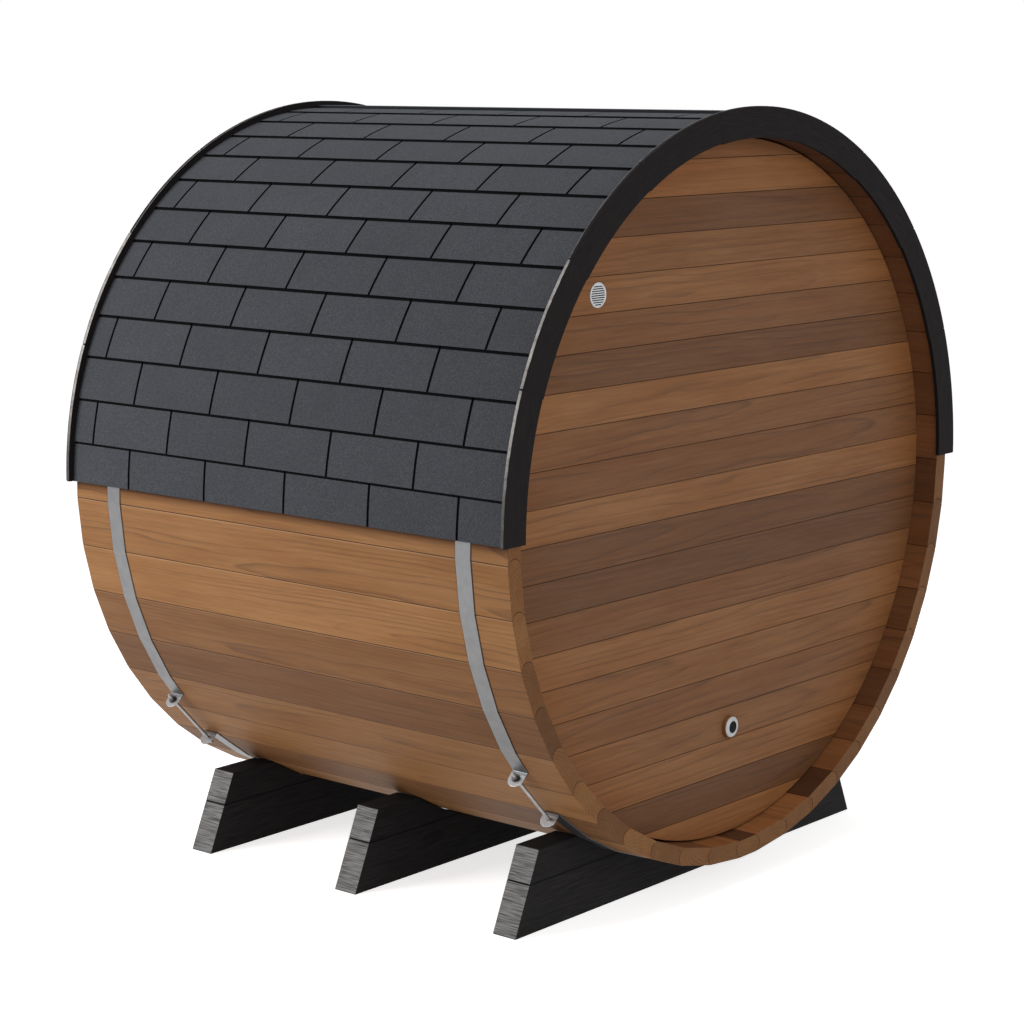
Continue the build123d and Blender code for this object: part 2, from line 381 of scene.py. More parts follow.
# grain and spot are functions of the place: along which way the wood grew, and how far the joints are
def addSolid(stock, solid, grainOf=tuple, tone=0.5, finish=0, spotOf=None):
    points, faces = solid
    first = len(stock["points"])
    stock["points"] += points
    stock["faces"] += [[first + i for i in face] for face in faces]
    stock["grain"] += [grainOf(p) for p in points]
    stock["spot"] += [spotOf(p) if spotOf else (1.0, 1.0, tone) for p in points]
    stock["tone"] += [tone] * len(points)
    stock["finish"] += finish if isinstance(finish, list) else [finish] * len(faces)


def makePiece(name, stock, finishes, slotName, nodes, smoothAngle=40.0, weighted=True):
    mesh = bpy.data.meshes.new(name)
    mesh.from_pydata(stock["points"], [], stock["faces"])
    for key in ("grain", "spot"):
        values = [v for point in stock[key] for v in point]
        mesh.attributes.new(key, "FLOAT_VECTOR", "POINT").data.foreach_set("vector", values)
    mesh.attributes.new("tone", "FLOAT", "POINT").data.foreach_set("value", stock["tone"])
    for finish in finishes:
        mesh.materials.append(finish)
    mesh.polygons.foreach_set("material_index", stock["finish"])
    work = bmesh.new()
    work.from_mesh(mesh)
    bmesh.ops.recalc_face_normals(work, faces=work.faces)
    work.to_mesh(mesh)
    work.free()
    mesh.shade_smooth()
    mesh.set_sharp_from_angle(angle=math.radians(smoothAngle))
    piece = bpy.data.objects.new(name, mesh)
    bpy.context.collection.objects.link(piece)
    if weighted:
        piece.modifiers.new("faceNormals", "WEIGHTED_NORMAL").keep_sharp = True
    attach(piece, "root")
    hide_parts(*nodes)


# a row whose pieces are odd and even by turns, counted from one
def makeHalves(name, stocks, finishes, slotName, node, *options):
    for half, stock in zip(("Odd", "Even"), stocks):
        makePiece(name + half, stock, finishes, slotName, [node + "_" + half.lower()], *options)


# where the pith lies beside a board, along its face and in front of it or behind
def pith(reach, nearest, farthest):
    return dice.uniform(-reach, reach), dice.choice((-1, 1)) * dice.uniform(nearest, farthest)


# wood: rings round a pith that lies off each board, seen where the board's faces cut them
# how often a pattern changes in a metre, across the grain and along it
woodPatterns = {
    "wobble": (9.0, 1.6),
    "ringWeight": (30.0, 1.3),
    "cloud": (16.0, 2.2),
    "pores": (1500.0, 40.0),
    # these two for a fibreSize of one metre
    "fibre": (1.0, 0.03),
    "streak": (0.30, 0.006),
}


def makeWood(name, look):
    material = newFinish(name)
    grain, tone = stored("grain", "Vector"), stored("tone", "Fac")
    fromStart, fromEnd, innerTone = apart(stored("spot", "Vector"))
    facing, place = faceWay(), objectPlace()

    def pattern(key, detail, roughness=0.5, size=1.0, output="Fac"):
        across, along = woodPatterns[key]
        stretched = stretch(grain, across / size, across / size, along / size)
        return noise(stretched, 1.0, detail, roughness, output=output)

    wobble = vectorCalc("SUBTRACT", pattern("wobble", 2.0, output="Color"), (0.5, 0.5, 0.5))
    bent = vectorCalc("ADD", grain, stretch(wobble, look["wobble"], look["wobble"], 0.0))
    radius = vectorCalc("LENGTH", stretch(bent, 1.0, 1.0, 0.0))
    radius = calc("MULTIPLY_ADD", apart(bent)[2], look["taper"], radius)
    ring = calc("FRACT", calc("DIVIDE", radius, look["ringWidth"]))
    lateWood = times(calc("POWER", ring, look["ringSharpness"]), fade(ring, 1.0, 0.9))
    # a few rings show strongly, most hardly, and dark boards show more of them
    ringWeight = fade(pattern("ringWeight", 2.0), 0.38, 0.62, 0.2, 1.0)
    ringWeight = times(ringWeight, spread(tone, 0.0, 0.8, 1.0, look["paleRings"]))
    lateWood = times(lateWood, ringWeight)
    # fibres, from hair-fine ones to broad streaks
    fibre = pattern("fibre", 4.0, 0.6, look["fibreSize"])
    streak = pattern("streak", 3.0, 0.55, look["fibreSize"])
    cloud = pattern("cloud", 3.0, 0.55)
    pores = fade(pattern("pores", 2.0), 0.60, 0.74)

    colour = steps(tone, look["tones"])
    if "innerTones" in look:
        # on the hollow side of a stave its own tone counts; these tones hold painted shade and warm bounce
        # light of the recess as well as the wood's own tone
        outward = vectorCalc("NORMALIZE", fromAxis(place))
        inward = fade(vectorCalc("DOT_PRODUCT", facing, outward), -0.5, -0.8)
        colour = blend(inward, colour, steps(innerTone, look["innerTones"]))
    warmShare = fade(cloud, 0.35, 0.68, 0.0, look["drift"])
    colour = blend(warmShare, colour, stained(colour, look["warmShift"]))
    for value, depth in ((cloud, -look["cloud"]), (fibre, look["fibre"]), (streak, look["streak"])):
        shade = swing(value, 1 - depth, 1 + depth)
        colour = stained(colour, feedAll(newNode("CombineXYZ"), shade, shade, shade)[0])
    colour = blend(times(lateWood, look["rings"]), colour, look["ringColour"])
    colour = blend(times(pores, look["pores"]), colour, look["ringColour"])
    if "rimTone" in look:
        # painted shade and warm bounce light: the boards are darker and warmer towards the staves
        nearRim = fade(vectorCalc("LENGTH", fromAxis(place)), *look["rimFade"])
        colour = blend(nearRim, colour, stained(colour, look["rimTone"]))
    if "innerTones" in look:
        # cut ends drink more oil
        endOn = fade(looksAlong(facing, 0.0, 1.0, 0.0), 0.75, 0.95)
        colour = blend(endOn, colour, stained(colour, look["endShade"]))
        # the outer faces get a painted highlight below each joint and painted shade below the eave and beside
        # the bands
        outside = without(calc("MAXIMUM", endOn, inward))
        colour = staveHighlightAndShade(colour, look, place, fromStart, fromEnd, outside)
    # joints are dark
    seam = fade(calc("MINIMUM", fromStart, fromEnd), look["seamCore"], look["seamReach"], 1.0, 0.0)
    colour = blend(times(seam, look["seam"]), colour, look["seamColour"])
    rough = swing(fibre, look["roughness"] + 0.07, look["roughness"] - 0.07)
    rough = calc("MULTIPLY_ADD", lateWood, -0.08, rough)
    height = calc("MULTIPLY_ADD", pores, -0.5, calc("MULTIPLY_ADD", lateWood, -0.6, fibre))
    setShader(colour, rough, (height, look["bump"]), look["gloss"])
    return material


# painted highlight along the upper edge of each stave, and painted shade below the eave and beside the bands
def staveHighlightAndShade(colour, look, place, fromStart, fromEnd, outside):
    x, y, z = apart(place)
    # the joint above is the start of a stave on the left and its end on the right
    onRight = spread(x, -0.01, 0.01)
    fromAbove = calc("MULTIPLY_ADD", onRight, calc("SUBTRACT", fromEnd, fromStart), fromStart)
    # painted highlight along the upper edge of the stave, stronger higher up
    near, nearFull, farFull, far = look["sandedLine"]
    sanded = times(fade(fromAbove, near, nearFull), fade(fromAbove, farFull, far, 1.0, 0.0))
    sanded = times(times(sanded, spread(z, *look["sandedHeights"])), outside)
    colour = blend(sanded, colour, blend(1.0, colour, look["sanded"], "SCREEN"))
    # painted shadow beside the bands
    paintedShade = 0.0
    for centre in look["bandsAt"]:
        paintedShade = calc("MAXIMUM", paintedShade, fade(distance(y, centre), *look["bandEdge"], look["bandDirt"], 0.0))
    # none between the two lugs, where there is no band
    noBand = times(calc("COMPARE", z, *look["noBand"]), without(onRight))
    paintedShade = times(paintedShade, without(noBand))
    # painted shade below the eave
    eaveLow, eaveHigh = (axisHeight - drop for drop in look["eaveDrop"])
    paintedShade = calc("MAXIMUM", paintedShade, fade(z, eaveLow, eaveHigh, 0.0, look["eaveDirt"]))
    return blend(times(paintedShade, outside), colour, stained(colour, look["dirtColour"]))


staveWood = makeWood("staveWood", {
    "tones": [(0.0, tint(111, 77, 51)), (0.5, tint(141, 100, 64)), (1.0, tint(165, 120, 77))],
    # the hollow sides are darker and warmer, partly the wood's own tone and partly painted shade and bounce
    # light of the recess
    "innerTones": [(0.0, tint(66, 41, 26)), (0.5, tint(126, 82, 51)), (1.0, tint(172, 114, 68))],
    "warmShift": tint(242, 227, 208),
    "ringColour": tint(78, 54, 42),
    "ringWidth": 0.0105,
    "ringSharpness": 4.5,
    "rings": 0.92,
    "paleRings": 0.8,
    "wobble": 0.034,
    "taper": 0.012,
    "fibreSize": 0.0022,
    "fibre": 0.10,
    "streak": 0.09,
    "cloud": 0.06,
    "pores": 0.16,
    "drift": 0.5,
    "roughness": 0.55,
    "gloss": 0.11,
    "bump": 0.0003,
    "endShade": tint(220, 214, 205),
    # the painted highlight's place below a joint, and its strength by height, stronger higher up
    "sanded": tint(96, 82, 70),
    "sandedLine": (0.0013, 0.0020, 0.0030, 0.0048),
    "sandedHeights": (0.3, 0.9, 0.25, 1.0),
    # painted shade below the eave and beside the bands
    "dirtColour": tint(150, 132, 116),
    "eaveDirt": 0.9,
    "eaveDrop": (0.034, 0.002),
    "bandDirt": 0.8,
    "bandsAt": (-0.659, 0.646),
    "bandEdge": (0.0262, 0.0300),
    # middle and half height of the stretch between the lugs
    "noBand": (0.394, 0.068),
    "seam": 0.85,
    "seamCore": 0.0005,
    "seamReach": 0.0016,
    "seamColour": tint(48, 29, 19),
})
wallWood = makeWood("wallWood", {
    "tones": [(0.0, tint(97, 68, 48)), (0.5, tint(126, 88, 60)), (1.0, tint(150, 106, 69))],
    "warmShift": tint(245, 228, 210),
    "ringColour": tint(66, 47, 38),
    "ringWidth": 0.0120,
    "ringSharpness": 5.0,
    "rings": 0.85,
    "paleRings": 0.75,
    "wobble": 0.030,
    "taper": 0.010,
    "fibreSize": 0.0024,
    "fibre": 0.09,
    "streak": 0.12,
    "cloud": 0.06,
    "pores": 0.12,
    "drift": 0.5,
    "roughness": 0.6,
    "gloss": 0.15,
    "bump": 0.00025,
    # painted shade and warm bounce light towards the staves
    "rimTone": tint(255, 243, 222),
    "rimFade": (0.72, 0.96),
    "seam": 0.5,
    "seamCore": 0.0004,
    "seamReach": 0.0019,
    "seamColour": tint(46, 28, 19),
})
print("wood finishes ready")


# staves: each has a bead on one edge and a cove on the other
staveLook = {
    "cornerRadius": 1.030,
    "thickness": 0.050,
    "halfLength": 0.805,
    "step": 7.82,
    "bottomStep": 4.54,
    "bottomTurn": 0.95,
    "leftCount": 23,
    "rightCount": 22,
    "beadRise": 0.015,
    "shoulder": 0.002,
    "gap": 0.0003,
    "faceCorner": 0.0034,
    "endEase": 0.0015,
    "endFade": 0.0026,
    "arcSteps": 14,
    "cornerSteps": 4,
    "pith": (0.045, 0.035, 0.11),
    "grainShift": 40.0,
    # 0 dark to 1 light, from the bottom up; of the two narrow ones, outside and inside
    "bottomTones": (0.7, 0.15),
    "closingTones": (0.5, 0.4),
    "leftTones": [0.6, 0.75, 0.45, 0.85, 0.25, 0.75, 0.55, 0.1, 0.35, 0.8, 0.62, 0.6],
    "rightTones": [0.7, 0.65, 0.6, 0.45, 0.6, 0.3, 0.55, 0.6, 0.45, 0.25, 0.5, 0.6],
    "leftInner": [0.85, 0.35, 0.6, 0.5, 0.7, 0.4],
    # the right staves' hollow sides grow darker towards the top: painted shade in the recess under the fascia
    "rightInner": [0.9, 0.9, 0.15, 0.65, 0.5, 0.3, 0.45, 0.35, 0.55, 0.42, 0.22,
                   0.5, 0.3, 0.4, 0.36, 0.32, 0.25, 0.2, 0.15, 0.1, 0.05, 0.05],
}
step = staveLook["step"]
halfStepCosine = math.cos(math.radians(step / 2))
flatDistance = staveLook["cornerRadius"] * halfStepCosine - staveLook["thickness"]
innerCorner = flatDistance / halfStepCosine


def jointSide(angle, inset, rise, ease):
    look = staveLook
    outer, inner = look["cornerRadius"] - ease, innerCorner + ease
    middle = (outer + inner) / 2
    halfWidth = (outer - inner) / 2 - look["shoulder"]
    bend = (halfWidth ** 2 + rise ** 2) / (2 * rise)
    halfTurn = 2 * math.atan(abs(rise) / halfWidth)
    points = [onRing(outer, angle, inset)]
    radii = [look["faceCorner"]]
    for i in range(look["arcSteps"] + 1):
        turn = halfTurn * (2 * i / look["arcSteps"] - 1)
        out = rise - bend * (1 - math.cos(turn))
        points.append(onRing(middle - abs(bend) * math.sin(turn), angle, inset + out))
        radii.append(0.0)
    points.append(onRing(inner, angle, inset))
    radii.append(look["faceCorner"])
    return points, radii


def staveSolid(startAngle, startWay, endAngle, endWay):
    look = staveLook

    def outlineAt(ease):
        inset = look["gap"] / 2 + ease
        startPoints, startRadii = jointSide(startAngle, inset, startWay * look["beadRise"], ease)
        endPoints, endRadii = jointSide(endAngle, -inset, endWay * look["beadRise"], ease)
        points, radii = startPoints + endPoints[::-1], startRadii + endRadii[::-1]
        return roundedPath(points, radii, arcSteps=look["cornerSteps"])

    rows = easedRows(-look["halfLength"], look["halfLength"], look["endEase"])
    return slab(outlineAt(0.0), rows, upright, outlineAt=outlineAt)


# straight out from the barrel's axis, and round it
def ways(angle):
    a = math.radians(angle)
    return Vector((math.sin(a), 0, -math.cos(a))), Vector((math.cos(a), 0, math.sin(a)))


def staveGrain(middle):
    out, along = ways(middle)
    pithAcross, pithDepth = pith(*staveLook["pith"])
    start = dice.uniform(-staveLook["grainShift"], staveLook["grainShift"])

    def grainOf(p):
        across = (p - barrelCentre).dot(along)
        depth = (p - barrelCentre).dot(out) - staveLook["cornerRadius"]
        return (across + pithAcross, depth + pithDepth, p.y + start)

    return grainOf


def staveSpot(startAngle, endAngle, innerTone):
    look = staveLook
    startWay, endWay = ways(startAngle)[1], ways(endAngle)[1]
    out = ways((startAngle + endAngle) / 2)[0]
    edge = look["shoulder"] + look["endEase"]

    def spotOf(p):
        if abs(p.y) > look["halfLength"] - 1e-6:
            # the flat of the cut end, so that only its rounded edge takes the dark of the joint
            return (look["endFade"], look["endFade"], innerTone)
        if flatDistance + edge < (p - barrelCentre).dot(out) < flatDistance + look["thickness"] - edge:
            return (0.0, 0.0, innerTone)
        return ((p - barrelCentre).dot(startWay), -(p - barrelCentre).dot(endWay), innerTone)

    return spotOf


leftJoint = staveLook["bottomTurn"] - staveLook["bottomStep"] / 2
rightJoint = staveLook["bottomTurn"] + staveLook["bottomStep"] / 2
staveSets = {"bottomStave": ("stave_bottom", [(leftJoint, -1, rightJoint, 1, *staveLook["bottomTones"])])}
for sideName, way, joint in (("left", -1, leftJoint), ("right", 1, rightJoint)):
    stocks = ([], [])
    tones, innerTones = staveLook[sideName + "Tones"], staveLook[sideName + "Inner"]
    for i in range(staveLook[sideName + "Count"]):
        near = joint + way * i * step
        start, end = sorted((near, near + way * step))
        tone, innerTone = tones[i % len(tones)], innerTones[i % len(innerTones)]
        stocks[i % 2].append((start, way, end, way, tone, innerTone))
    for half, staves in zip(("Odd", "Even"), stocks):
        staveSets[sideName + "Staves" + half] = ("staves_" + sideName + "_" + half.lower(), staves)
closingStart = rightJoint + staveLook["rightCount"] * step
closingEnd = leftJoint - staveLook["leftCount"] * step + fullTurn
staveSets["closingStave"] = ("stave_closing", [(closingStart, 1, closingEnd, -1, *staveLook["closingTones"])])
for pieceName, (node, staves) in staveSets.items():
    stock = newStock()
    for start, startWay, end, endWay, tone, innerTone in staves:
        solid = staveSolid(start, startWay, end, endWay)
        addSolid(stock, solid, staveGrain((start + end) / 2), tone, 0, staveSpot(start, end, innerTone))
    makePiece(pieceName, stock, [staveWood], "staves", [node])
print("staves:", sum(len(staves) for node, staves in staveSets.values()))


# end walls of boards, with a dark gap round them
wallLook = {
    "halfWidth": 0.9768,
    "halfHeight": 0.9725,
    "face": 0.735,
    "thickness": 0.040,
    "pitch": 0.09544,
    "topSeam": 0.9195,
    "gap": 0.0008,
    "ease": 0.0014,
    "arcSteps": 7,
    "pith": (0.06, 0.04, 0.12),
    "grainShift": 40.0,
    "grainSlope": 0.02,
    # from the top board down, 0 dark to 1 light
    "tones": [0.5, 0.8, 0.18, 0.6, 0.75, 0.45, 0.18, 0.85, 0.5, 0.38, 0.8,
              0.22, 0.12, 0.45, 0.8, 0.7, 0.52, 0.65, 0.78, 0.12, 0.9],
}
ventLook = {
    "centre": onRing(0.833, -134.7),
    "radius": 0.033,
    "proud": 0.003,
    "bore": 0.029,
    "slots": 9,
    "slotPitch": 0.0058,
    "slotDrop": -0.0016,
    "slotHeight": 0.0028,
    "slotReach": 0.0278,
    "slatTilt": 35.0,
    "slatWidth": 0.0052,
    "slatThickness": 0.0006,
    # back, front and rounding of the slotted plate, and how far it stays inside the rim
    "plate": (0.0006, 0.0016, 0.0002),
    "plateInset": 0.0042,
    # section of the rim, as inset and share of its height
    "rim": [(0.0, 0.0), (0.0, 0.45), (0.0006, 0.8), (0.0016, 1.0), (0.0030, 0.95), (0.0040, 0.7),
            (0.0044, 0.3), (0.0044, 0.0)],
    # outer and inner radius, front and back
    "sleeve": (0.0286, 0.0278, 0.0004, -0.039),
}


def boardOutline(low, high):
    halfWidth, halfHeight = wallLook["halfWidth"], wallLook["halfHeight"]
    start = math.asin(max(-1.0, low / halfHeight))
    end = math.asin(min(1.0, high / halfHeight))
    n = wallLook["arcSteps"]
    right = [start + (end - start) * k / n for k in range(n + 1)]
    left = [math.pi - a for a in reversed(right)]
    if high >= halfHeight:
        left = left[1:]
    if low <= -halfHeight:
        left = left[:-1]
    return [Vector((halfWidth * math.cos(a), axisHeight + halfHeight * math.sin(a))) for a in right + left]


def boardGrain(middle, face):
    pithAcross, pithDepth = pith(*wallLook["pith"])
    start, slope = (dice.uniform(-reach, reach) for reach in (wallLook["grainShift"], wallLook["grainSlope"]))
    return lambda p: (p.z - middle + pithAcross + slope * p.x, p.y - face + pithDepth, p.x + start)


def boardSpot(low, high, tone):
    return lambda p: (p.z - low, high - p.z, tone)


boards = []
edge = wallLook["halfHeight"]
high = edge
low = wallLook["topSeam"]
while high > -edge:
    boards.append((max(low, -edge), high))
    high, low = low, low - wallLook["pitch"]
face, gap, vent = wallLook["face"], wallLook["gap"], ventLook["centre"]
rows = easedRows(face - wallLook["thickness"], face, wallLook["ease"])
for endName, way in (("vent", -1), ("plain", 1)):
    stocks = (newStock(), newStock())
    for i, (low, high) in enumerate(boards):
        outline = boardOutline(low + gap / 2 if low > -edge else low, high - gap / 2 if high < edge else high)
        bored = way < 0 and low + axisHeight < vent.y < high + axisHeight
        holes = [circle(vent, ventLook["bore"])] if bored else []
        solid = slab(outline, rows, lambda u, v, w: Vector((u, way * w, v)), holes)
        tone = wallLook["tones"][i if way < 0 else (i * 4 + 3) % len(boards)]
        grainOf = boardGrain(axisHeight + (low + high) / 2, way * face)
        spotOf = boardSpot(axisHeight + low, axisHeight + high, tone)
        addSolid(stocks[i % 2], solid, grainOf, tone, 0, spotOf)
    makeHalves(endName + "Wall", stocks, [wallWood], "wall_boards", endName + "_wall_boards")
print("wall boards:", 2 * len(boards))


# fascia: short curved boards painted black, the paint rubbed off along the outer edge, with a painted
# highlight along it
fasciaLook = {
    "outer": 1.0570,
    "width": 0.083,
    "thickness": 0.011,
    "segment": 19.6,
    "count": 9,
    "eave": 90.0,
    "corner": 0.003,
    "gap": 0.0002,
    "ease": 0.0004,
    "arcSteps": 12,
    "widthChange": 0.0015,
    "grainShift": 20.0,
}
paintLook = {
    "paint": (tint(22, 20, 20), tint(33, 29, 29)),
    "bare": (tint(150, 145, 141), tint(188, 184, 180)),
    "fibres": (420.0, 420.0, 22.0),
    "patches": (26.0, 4.0, 0.6),
    "scuffs": (150.0, 5.0, 0.65),
    "roughness": (0.72, 0.58),
    "gloss": 0.06,
    "bump": 0.0004,
    # the rubbed rim begins and is bare at these distances from the barrel's axis
    "rim": (1.0562, 1.0568),
    # two heights, and how strong the pale rim is at each, rubbed paint and painted highlight
    "wearLow": (1.16, 1.40, 0.24, 0.9),
    "wearHigh": (1.788, 1.806, 1.0, 0.42),
    # low boards are rubbed over most of the edge, high ones only beside the roof
    "rubbedWidth": (1.788, 1.806, 0.0090, 0.0026),
    "ragged": 0.0008,
}


def makePaint(name, look):
    material = newFinish(name)
    place = objectPlace()
    x, y, z = apart(place)
    fibre = noise(stretch(stored("grain", "Vector"), *look["fibres"]), 1.0, 4.0, 0.6)
    patch = noise(place, *look["patches"])
    ragged = look["ragged"]
    rubbed = calc("ADD", fade(z, *look["rubbedWidth"]), swing(patch, -ragged, ragged))
    depth = calc("SUBTRACT", distance(y), staveLook["halfLength"])
    wearAndSheen = fade(calc("SUBTRACT", depth, rubbed), ragged, -ragged)
    wearAndSheen = times(wearAndSheen, fade(vectorCalc("LENGTH", fromAxis(place)), *look["rim"]))
    # the strength by height holds a painted highlight as well as rubbed paint
    wearAndSheen = times(times(wearAndSheen, fade(z, *look["wearLow"])), fade(z, *look["wearHigh"]))
    wearAndSheen = times(wearAndSheen, fade(noise(place, *look["scuffs"]), 0.30, 0.58, 0.62, 1.0))
    paint = blend(spread(fibre, 0.3, 0.75), *look["paint"])
    colour = blend(wearAndSheen, paint, blend(spread(patch, 0.35, 0.65), *look["bare"]))
    setShader(colour, swing(fibre, *look["roughness"]), (fibre, look["bump"]), look["gloss"])
    return material


fasciaPaint = makePaint("fasciaPaint", paintLook)


def fasciaSolid(startAngle, endAngle, yStart):
    look = fasciaLook
    outer, corner = look["outer"], look["corner"]
    slip, n = look["gap"] / 2, look["arcSteps"]
    angles = [startAngle + (endAngle - startAngle) * k / n for k in range(n + 1)]

    def inner(k):
        # each board is a little wider at the end away from the crown
        away = 2 * k / n - 1 if startAngle >= 180 else 1 - 2 * k / n
        if startAngle < 180 < endAngle:
            away = 1
        return outer - look["width"] - look["widthChange"] * away

    points = [onRing(inner(0), startAngle, slip)]
    points += [onRing(inner(k), angles[k]) for k in range(1, n)]
    points += [onRing(inner(n), endAngle, -slip), onRing(outer - corner, endAngle, -slip)]
    points.append(onRing(outer, endAngle, -corner))
    points += [onRing(outer, angles[k]) for k in range(n - 1, 0, -1)]
    points += [onRing(outer, startAngle, corner), onRing(outer - corner, startAngle, slip)]
    return slab(points, easedRows(yStart, yStart + look["thickness"], look["ease"]), upright)


def fasciaGrain(middle):
    out, along = ways(middle)
    start = dice.uniform(-fasciaLook["grainShift"], fasciaLook["grainShift"])
    return lambda p: ((p - barrelCentre).dot(out) - 1.0, p.y, (p - barrelCentre).dot(along) + start)


fasciaJoints = [fasciaLook["eave"]]
for i in range(fasciaLook["count"] - 1):
    fasciaJoints.append(180 + (i + 1 - fasciaLook["count"] / 2) * fasciaLook["segment"])
fasciaJoints.append(fullTurn - fasciaLook["eave"])
staveEnd = staveLook["halfLength"]
for endName, yStart in (("vent", -staveEnd - fasciaLook["thickness"]), ("plain", staveEnd)):
    stocks = (newStock(), newStock())
    for i, (start, end) in enumerate(zip(fasciaJoints, fasciaJoints[1:])):
        board, grainOf = fasciaSolid(start, end, yStart), fasciaGrain((start + end) / 2)
        addSolid(stocks[i % 2], board, grainOf, dice.random())
    makeHalves(endName + "Fascia", stocks, [fasciaPaint], "fascia", "fascia_" + endName + "_end")
print("fascia boards:", 2 * fasciaLook["count"])


# shingles: tabs over a black strip, each course stepping up under the next
roofLook = {
    "seat": 1.0328,
    "lowEdge": 0.0068,
    "highEdge": 0.0034,
    "eave": 90.0,
    "eaveCourse": 6.3,
    "course": 6.81,
    "perSide": 13,
    "ridgeThickness": 0.0112,
    "ridgeShift": 0.02,
    "tabWidth": 0.3048,
    "narrowest": 0.02,
    "firstSlot": 0.158,
    "slot": 0.0078,
    # width of the painted shadow line under the next course's lip, at the eave and at the ridge
    "blackLine": (0.0066, 0.0115),
    "tabThickness": 0.0030,
    "tabSink": 0.0002,
    "ease": 0.0008,
    "stripEase": 0.0003,
    "angleSteps": 6,
    "smoothAngle": 25.0,
}
gritLook = {
    "grit": (420.0, 3.0, 0.75),
    "gritColours": (tint(51, 52, 56), tint(77, 79, 84)),
    "chips": 520.0,
    "chipShare": 0.35,
    "chipColour": tint(112, 115, 120),
    "blotches": (9.0, 3.0, 0.5),
    "blotchShare": 0.22,
    "blotchColour": tint(56, 57, 61),
    "darkTabShare": 0.22,
    "darkTab": tint(50, 51, 55),
    "roughness": (0.95, 0.75),
    "gloss": 0.12,
    "bump": 0.0008,
    "bumpStrength": 0.8,
}


def makeGrit(name, look):
    material = newFinish(name)
    place = objectPlace()
    grit = noise(place, *look["grit"])
    chips = cells(place, look["chips"])
    colour = blend(spread(grit, 0.32, 0.68), *look["gritColours"])
    paleChips = spread(apart(chips["Color"])[0], 0.72, 0.98, 0.0, look["chipShare"])
    colour = blend(paleChips, colour, look["chipColour"])
    blotch = spread(noise(place, *look["blotches"]), 0.35, 0.7, 0.0, look["blotchShare"])
    colour = blend(blotch, colour, look["blotchColour"])
    darker = spread(stored("tone", "Fac"), 0.0, 1.0, look["darkTabShare"], 0.0)
    colour = blend(darker, colour, look["darkTab"])
    height = calc("MULTIPLY_ADD", chips["Distance"], -0.7, grit)
    bump = (height, look["bump"], look["bumpStrength"])
    setShader(colour, swing(grit, *look["roughness"]), bump, look["gloss"])
    return material


shingleFace = makeGrit("shingleFace", gritLook)
# black of the strip and the cut edges, also used for the painted shadow line along each tab's upper edge
shingleCut = makePlain("shingleCut", {
    "drift": (600.0, 3.0, 0.7), "share": (0.0, 1.0), "colours": (tint(8, 8, 9), tint(18, 18, 19)),
    "roughness": (0.75, 0.9), "gloss": 0.02, "bump": 0.0006,
})
ridgeEdge = makePlain("ridgeEdge", {
    "drift": (500.0, 3.0, 0.7), "share": (0.0, 1.0), "colours": (tint(28, 29, 32), tint(52, 54, 58)),
    "roughness": (0.8, 0.95), "gloss": 0.1, "bump": 0.0006,
})


def curvedPlate(low, high, y0, y1, topLow, topHigh, thickness, ease, blackLine=0.0):
    # rows climb from the low edge to the high one, columns run along the barrel
    angleSteps = roofLook["angleSteps"]
    climb = math.degrees(1 / roofLook["seat"]) * (1 if high > low else -1)
    angles = [low, low + climb * ease]
    angles += [low + (high - low) * k / angleSteps for k in range(1, angleSteps)]
    lastFace = len(angles)
    # the rows along the upper edge take the black finish: a painted shadow under the next course
    angles += [high - climb * max(blackLine, 2 * ease), high - climb * ease, high]
    columns = [y0, y0 + ease, y1 - ease, y1]
    points, faces, finish = [], [], []
    for side in (0, 1):
        for i, angle in enumerate(angles):
            share = (angle - low) / (high - low)
            top = roofLook["seat"] + topLow + (topHigh - topLow) * share
            for j, y in enumerate(columns):
                rim = i in (0, len(angles) - 1) or j in (0, 3)
                radius = top - thickness if side else top - (ease * 0.6 if rim else 0.0)
                p = onRing(radius, angle)
                points.append(Vector((p.x, y, p.y)))
    across, sheet = len(columns), len(angles) * len(columns)
    for side in (0, 1):
        for i in range(len(angles) - 1):
            for j in range(across - 1):
                a = side * sheet + i * across + j
                faces.append([a, a + 1, a + across + 1, a + across])
                finish.append(1 if side or (blackLine and i >= lastFace) else 0)
    rim = list(range(across))
    rim += [i * across + across - 1 for i in range(1, len(angles))]
    rim += [(len(angles) - 1) * across + j for j in range(across - 2, -1, -1)]
    rim += [i * across for i in range(len(angles) - 2, 0, -1)]
    for a, b in zip(rim, rim[1:] + rim[:1]):
        faces.append([a, b, b + sheet, a + sheet])
        finish.append(1)
    return (points, faces), finish


def layCourse(stock, low, high, topLow, topHigh, firstSlot, blackLine=0.0):
    half, slot = staveLook["halfLength"], roofLook["slot"]
    thickness, ease = roofLook["tabThickness"], roofLook["ease"]
    under = min(topLow, topHigh) - thickness
    strip = (low, high, -half, half, topLow - thickness, topHigh - thickness, under, roofLook["stripEase"])
    solid, finish = curvedPlate(*strip)
    addSolid(stock, solid, tone=0.0, finish=[1] * len(finish))
    cuts = [-half]
    y = -half + firstSlot
    while y < half - roofLook["narrowest"]:
        cuts += [y - slot / 2, y + slot / 2]
        y += roofLook["tabWidth"]
    cuts.append(half)
    for y0, y1 in zip(cuts[0::2], cuts[1::2]):
        tab = (low, high, y0, y1, topLow, topHigh, thickness + roofLook["tabSink"], ease, blackLine)
        solid, finish = curvedPlate(*tab)
        addSolid(stock, solid, tone=dice.random(), finish=finish)


